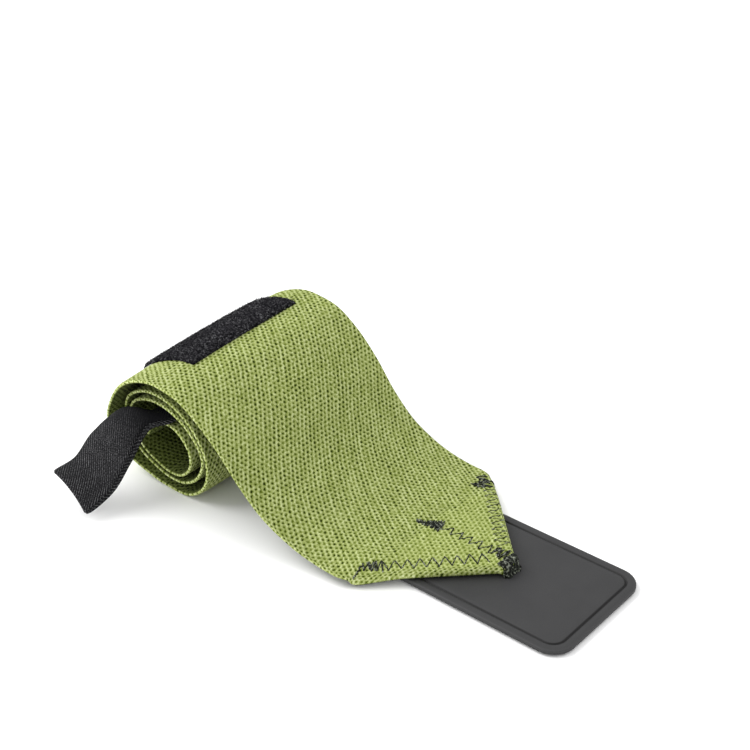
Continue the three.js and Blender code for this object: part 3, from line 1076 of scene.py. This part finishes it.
def stitch_holes(s, place, uneven, fluff):
    """The staggered rows of holes, with streaks in the columns of stitches."""
    across, along = pulled_place(s, place)
    wale = s.math("DIVIDE", across, REPEAT_ACROSS)
    course = s.math("DIVIDE", along, REPEAT_ALONG)
    rising = s.plus(wale, course)
    falling = s.minus(wale, course)
    slants = s.math("MULTIPLY_ADD", s.wave_of(rising), RISING, s.wave_of(falling))
    weave = s.plus(slants, s.wave(along, REPEAT_ALONG / 2))
    columns = s.add("CombineXYZ", rising, s.times(falling, 0.1)).outputs[0]
    streak = s.swung(s.noise(columns, 1.1, 1.0), STREAKS)
    rough = s.plus(streak, s.swung(fluff, FLUFF))
    return s.plus(s.plus(weave, uneven), rough)


def knit_tone(s, place, along, through, from_edge, fluff):
    """The pattern, 0 on lit yarn to 1 in a hole: fainter at the tip, finer at the edges."""
    uneven = s.swung(s.noise(place, 0.9, 1.0), UNEVEN)
    holes = stitch_holes(s, place, uneven, fluff)
    doubled = s.spread(along, CORNER_ALONG + 2, CORNER_ALONG + 9, 1.0, 0.68)
    body = s.times(s.spread(from_edge, -0.6, 0.4, 0.6, 1.0), doubled)
    ticks = s.times(s.wave(along, STITCH_ROW * 2), s.minus(1.0, body))
    ticks = s.plus(ticks, s.times(uneven, 0.3))
    on_rim = s.spread(s.apart(through, 0.4), 0.1, 0.35, 2.2, 1.2)
    pattern = s.plus(s.times(holes, body), s.times(ticks, on_rim))
    return s.spread(pattern, LIGHTEST, DARKEST)


def yarn_colour(s, place, tone):
    """The yarn's colour, with painted pale glints as highlights where its tone is lightest."""
    glint = s.spread(s.noise(place, 2.7, 1.0), 0.6, 0.7, 0.0, 0.5)
    glint = s.times(glint, s.spread(tone, 0.45, 0.6, 1.0, 0.0))
    return s.blend(glint, s.ramp(tone, YARN), PAINTED_GLINT)


def broad_shade(s, place, along):
    """Soft clouds all over, and painted light that makes the flat double-ply end lighter."""
    clouds = s.ramp(s.noise(place, 0.09, 2.0), [(0.3, DULL), (0.7, BRIGHT)])
    # Painted light over the flat double-ply end
    lighter = s.spread(along, CORNER_ALONG + 2, CORNER_ALONG + 10, 0.0, 0.5)
    return s.blend(lighter, clouds, LIT_FLAT_END)


def crease_light(s, shade, place, along, from_edge):
    """Painted shade in a wandering crease where the double ply begins, with a painted highlight on
    the crest beside it.
    """
    sway = s.math("MULTIPLY_ADD", s.noise(place, 0.06, 2.0), 14.0, CORNER_ALONG - 3.5)
    past = s.minus(along, sway)
    inward = s.spread(from_edge, 5.0, 9.0)
    crease = s.spread(s.math("ABSOLUTE", past), 0.2, 2.0, 0.22, 0.0)
    crest = s.spread(s.apart(past, 1.9), 0.2, 2.0, 0.12, 0.0)
    shade = s.blend(s.times(crease, inward), shade, CREASE_SHADE)
    return s.blend(s.times(crest, inward), shade, CREST_HIGHLIGHT)


def rim_light_and_inner_shade(s, shade, along, through):
    """Painted highlights on the rims, strongest on the roll, and painted shade on the inner side."""
    run_down = s.spread(along, CREST_ALONG - 20, CREST_ALONG + 25)
    rim = s.spread(through, 0.12, 0.3)
    shade = s.blend(rim, shade, s.blend(run_down, ROLL_RIM_HIGHLIGHT, RUN_RIM_HIGHLIGHT))
    # Painted shade over the inner side
    back = s.spread(through, 0.64, 0.86)
    return s.blend(back, shade, INNER_SIDE_SHADE)


def knit_material():
    """Green elastic knit: light yarn, dark holes in staggered rows, a finer selvage, with painted
    light and shade on top.
    """
    s = Shader("green_knit")
    place, across, along, through = s.fabric()
    from_edge = s.minus(HALF_BAND, s.math("ABSOLUTE", across))
    fluff = s.noise(place, 1.9, 3.0, 0.7)
    tone = knit_tone(s, place, along, through, from_edge, fluff)
    shade = crease_light(s, broad_shade(s, place, along), place, along, from_edge)
    shade = rim_light_and_inner_shade(s, shade, along, through)
    colour = s.blend(1.0, yarn_colour(s, place, tone), shade, "MULTIPLY")
    height = s.plus(s.times(tone, -1.0), s.times(fluff, 0.4))
    rough = s.spread(fluff, 0.0, 1.0, 0.8, 0.95)
    return s.finish(colour, rough, height, depth=0.35, sheen=0.02, specular=0.06)


def thread_material():
    """Black sewing thread with a twist, with painted grey glints in patches."""
    s = Shader("black_thread")
    where = s.solid()
    twist = s.add("TexWave", where, bands_direction="DIAGONAL")
    twist.inputs["Scale"].default_value = 900.0
    twist.inputs["Distortion"].default_value = 2.0
    patch = s.noise(where, 1100.0)
    dark, mid, light = (0.003, 0.004, 0.003), (0.022, 0.026, 0.018), (0.24, 0.26, 0.21)
    # The palest stop is a painted highlight: grey glints in random patches
    colour = s.ramp(patch, [(0.4, dark), (0.54, mid), (0.66, light)])
    rough = s.spread(patch, 0.3, 0.7, 0.35, 0.6)
    return s.finish(colour, rough, twist.outputs["Fac"], depth=0.06, specular=0.12)


def webbing_material():
    """Charcoal elastic webbing with fine slanting ribs, and painted shade that makes it near black
    where it enters the roll.
    """
    s = Shader("charcoal_webbing")
    place, across, along, _ = s.fabric()
    forward = s.math("DIVIDE", along, RIB_ALONG)
    slant = s.minus(forward, s.math("DIVIDE", across, RIB_ACROSS))
    rib = s.wave_of(slant)
    pick = s.times(s.wave(along, 0.55), s.wave(across, 0.6))
    fluff = s.noise(place, 2.2, 3.0, 0.75)
    patchy = s.spread(s.noise(place, 0.25, 2.0), 0.35, 0.65, 0.25, 0.8)
    mixed = s.math("MULTIPLY_ADD", pick, 0.3, s.times(rib, patchy))
    tone = s.spread(s.plus(mixed, s.swung(fluff, 5.0)), -1.3, 1.5)
    dark, mid, light = (0.001, 0.001, 0.002), (0.013, 0.013, 0.014), (0.17, 0.17, 0.175)
    colour = s.ramp(tone, [(0.0, dark), (0.5, mid), (1.0, light)])
    # Painted shade: near black where the loop goes into the roll
    clear_of_root_shade = s.spread(along, LOOP_DEPTH + 6, LOOP_DEPTH + 20)
    colour = s.blend(clear_of_root_shade, (0.005, 0.005, 0.006, 1), colour)
    rough = s.spread(fluff, 0.2, 0.8, 0.65, 0.85)
    return s.finish(colour, rough, tone, depth=0.2, specular=0.05)


def pile_material(name, light):
    """Black looped pile with painted pale specks as highlights on its loops."""
    s = Shader(name)
    where = s.solid()
    tuft = s.noise(where, 480.0, 3.0, 0.8)
    loops = s.noise(where, 1300.0, 2.0, 0.65)
    bright = (0.019 * light, 0.018 * light, 0.021 * light)
    base = s.ramp(tuft, [(0.4, (0.002, 0.002, 0.003)), (0.7, bright)])
    patches = s.spread(s.noise(where, 160.0, 1.0), 0.4, 0.6, 0.5, 1.0)
    # Painted highlights: pale specks on the loops, in patches
    speck_highlight = s.times(s.spread(loops, 0.52, 0.66, 0.0, 0.9), patches)
    colour = s.blend(speck_highlight, base, (0.12 * light, 0.12 * light, 0.125 * light, 1))
    rough = s.spread(tuft, 0.3, 0.7, 0.75, 0.95)
    return s.finish(colour, rough, tuft, depth=0.6, specular=0.03)


def rubber_material():
    """Dark grey moulded rubber: a fine grain, faint smudges, painted shade in the groove and down the
    side wall, and lighter at its outer rim.
    """
    s = Shader("dark_rubber")
    where = s.solid()
    _, inset, depth, _ = s.fabric()
    grain = s.noise(where, 2600.0, 2.0, 0.6)
    smudge = s.noise(where, 45.0, 3.0, 0.6)
    base = s.ramp(smudge, [(0.3, (0.025, 0.025, 0.026)), (0.7, (0.033, 0.033, 0.034))])
    from_groove = s.apart(inset, GROOVE_INSET + GROOVE_WIDTH / 2)
    # Painted shade in the groove
    sunk = s.spread(from_groove, 0.4, 0.75, 0.85, 0.0)
    # Painted shade down the side wall
    wall = s.spread(depth, 0.3, 1.2, 0.0, 0.45)
    # Lighter towards the outer rim
    rim = s.spread(inset, 0.1, 0.8, 0.35, 0.0)
    colour = s.blend(rim, base, (0.05, 0.05, 0.051, 1))
    colour = s.blend(wall, colour, (0.008, 0.008, 0.008, 1))
    colour = s.blend(sunk, colour, (0.005, 0.005, 0.005, 1))
    rough = s.math("MULTIPLY_ADD", smudge, 0.25, 0.45)
    return s.finish(colour, rough, grain, depth=0.05, specular=0.3)


def nylon_material():
    """Black nylon hook tape, its tone and shine varying in small patches."""
    s = Shader("black_nylon")
    where = s.solid()
    weave = s.noise(where, 700.0, 2.0)
    colour = s.ramp(weave, [(0.3, (0.008, 0.008, 0.009)), (0.7, (0.03, 0.03, 0.034))])
    rough = s.spread(weave, 0.3, 0.7, 0.35, 0.6)
    return s.finish(colour, rough, weave, depth=0.08)


def floor_material():
    s = Shader("pale_floor")
    haze = s.noise(s.solid(), 3.0)
    colour = s.ramp(haze, [(0.3, (0.94, 0.94, 0.942)), (0.7, (0.96, 0.96, 0.962))])
    return s.finish(colour, 0.7, specular=0.1)


# The pieces together


def dress(pieces, material):
    """Gives pieces their material. All ride on the wrap's one body."""
    for piece in pieces:
        piece.data.materials.append(material)
        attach(piece, "root")


def build_wrap():
    """All the pieces, dressed and put in the place of the solids."""
    band = build_band()
    stitches = build_stitches(band)
    strip, fibres = build_strip(), build_fibres()
    loop, loop_length = build_loop()
    tab = build_tab()
    backing, hooks = build_hooks()

    dress([band], knit_material())
    dress(stitches, thread_material())
    dress([strip], pile_material("black_pile", 1.0))
    # The loose fibres take the pile's colours 1.5 times lighter
    dress([fibres], pile_material("black_fibre", 1.5))
    dress([loop], webbing_material())
    dress([tab], rubber_material())
    dress([backing, hooks], nylon_material())

    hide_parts("elastic_band")
    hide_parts("loop_strip")
    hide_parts("thumb_loop")
    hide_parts("rubber_tab")
    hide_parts("hook_pad")


# The stage, the light and the camera

FLOOR_REACH = 4
SKY = 0.88

# Soft lamps: places, widths and aims in metres, power in watts. Two are aimed at the origin
LAMPS = [
    dict(name="key", place=(-0.75, -0.3, 0.8), size=0.9, power=12),
    dict(name="fill", place=(0.5, 0.4, 0.9), size=0.9, power=3),
    dict(name="low", place=(0.2, -0.9, 0.35), size=0.4, power=1, aim=(-0.04, 0, 0.02)),
]

# The camera, solved from the photo: its place from the tab's outer end in metres, how far it looks
# down and round in degrees, and its lens in millimetres
CAMERA_FROM_TAB_END = Vector((0.1726, -0.3153, 0.2949))
CAMERA_DOWN = 30.17
CAMERA_TURN = 40.2
CAMERA_LENS = 69.3


def build_floor():
    mesh = bpy.data.meshes.new("floor")
    corners = [(FLOOR_REACH * x, FLOOR_REACH * y, 0) for x, y in ((-1, -1), (1, -1), (1, 1), (-1, 1))]
    mesh.from_pydata(corners, [], [(0, 1, 2, 3)])
    mesh.materials.append(floor_material())
    linked("floor", mesh)


def area_light(name, place, size, power, aim=(0, 0, 0)):
    light = bpy.data.lights.new(name, "AREA")
    light.size = size
    light.energy = power
    lamp = linked(name, light)
    lamp.location = place
    lamp.rotation_euler = (Vector(aim) - Vector(place)).to_track_quat("-Z", "Y").to_euler()


def build_light():
    world = bpy.data.worlds.new("studio")
    world.use_nodes = True
    sky = world.node_tree.nodes["Background"]
    sky.inputs["Color"].default_value = (1, 1, 1, 1)
    sky.inputs["Strength"].default_value = SKY
    bpy.context.scene.world = world
    for lamp in LAMPS:
        area_light(**lamp)
    bpy.context.scene.view_settings.view_transform = "Standard"


def build_camera():
    data = bpy.data.cameras.new("photo_view")
    data.sensor_width = 36
    data.lens = CAMERA_LENS
    camera = linked("photo_view", data)
    camera.location = ORIGIN + CAMERA_FROM_TAB_END
    turn = (math.radians(90 - CAMERA_DOWN), 0, math.radians(CAMERA_TURN))
    camera.rotation_euler = Euler(turn)
    bpy.context.scene.camera = camera


build_wrap()
build_floor()
build_light()
build_camera()
